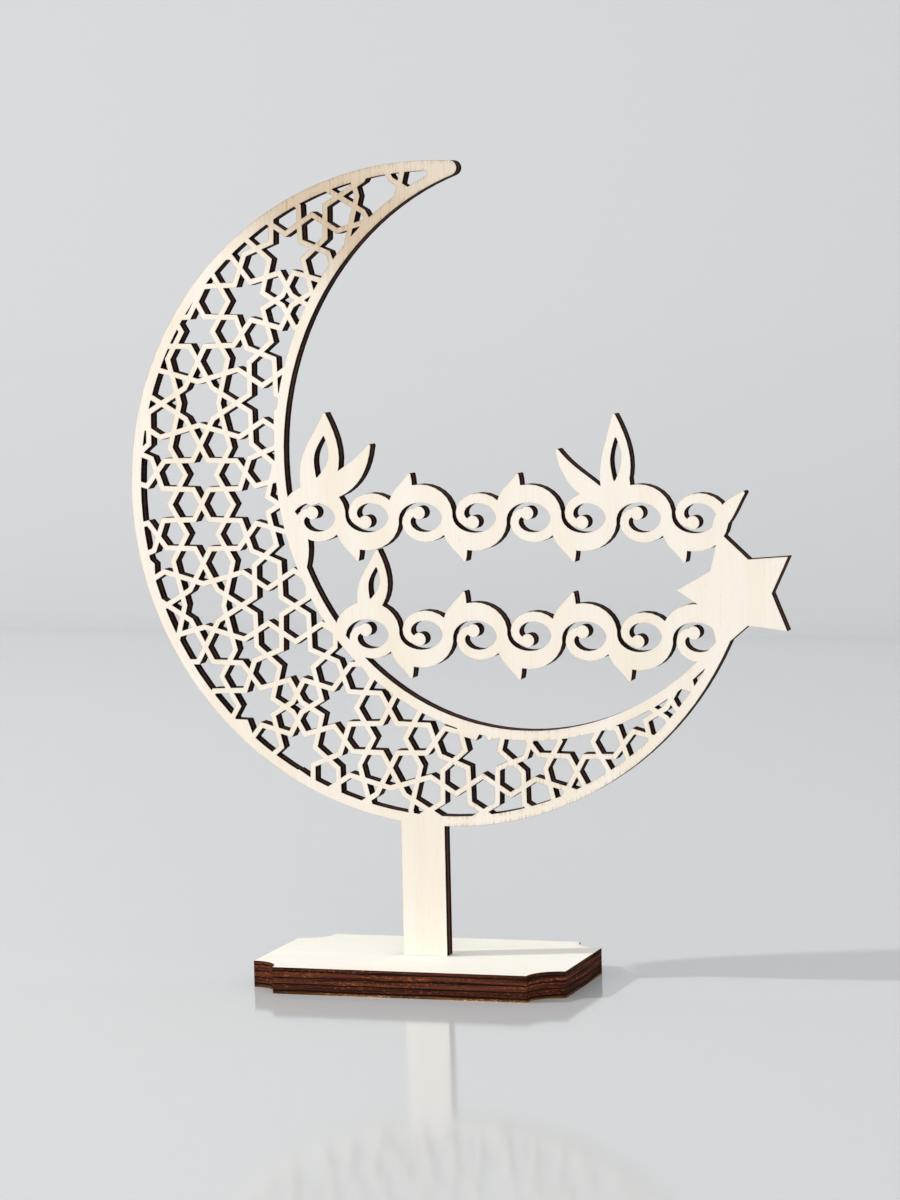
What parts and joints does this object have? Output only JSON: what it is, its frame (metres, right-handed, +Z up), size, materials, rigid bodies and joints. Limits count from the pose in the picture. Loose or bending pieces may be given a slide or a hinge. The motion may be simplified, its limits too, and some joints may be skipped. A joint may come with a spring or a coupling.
{
  "type": "crescent table ornament",
  "caption": "Wooden ramadan table ornament: a pierced crescent with star lattice, scrollwork and a star on a stem that plugs into a slotted plywood base.",
  "frame": {"origin": "centre of the base's rectangle on its underside, where the base rests; the stem stands on this centre line", "axes": "+Z up along the stem, -Y out of the panel's decorated front face, +X towards the star, along the base's long side"},
  "size_m": [0.1278, 0.0364, 0.1541],
  "materials": {
    "pale_veneer": "bare basswood face veneer with a fine straight grain",
    "panel_ply": "bare basswood plywood, laser cut, with charred edges",
    "dark_inner_ply": "inner ply, charred dark brown where the laser cut it",
    "brown_inner_ply": "inner ply, scorched reddish brown where the laser cut it"
  },
  "bodies": {
    "base": {"base_back_veneer": "pale_veneer", "base_inner_ply_1": "dark_inner_ply", "base_inner_ply_2": "brown_inner_ply", "base_inner_ply_3": "dark_inner_ply", "base_face_veneer": "pale_veneer"},
    "panel": {"crescent_panel": "panel_ply"}
  },
  "joints": [
    {"name": "panel_lift", "type": "slide", "parent": "base", "child": "panel", "axis": [0, 0, 1], "range_m": [0, 0.006]}
  ]
}
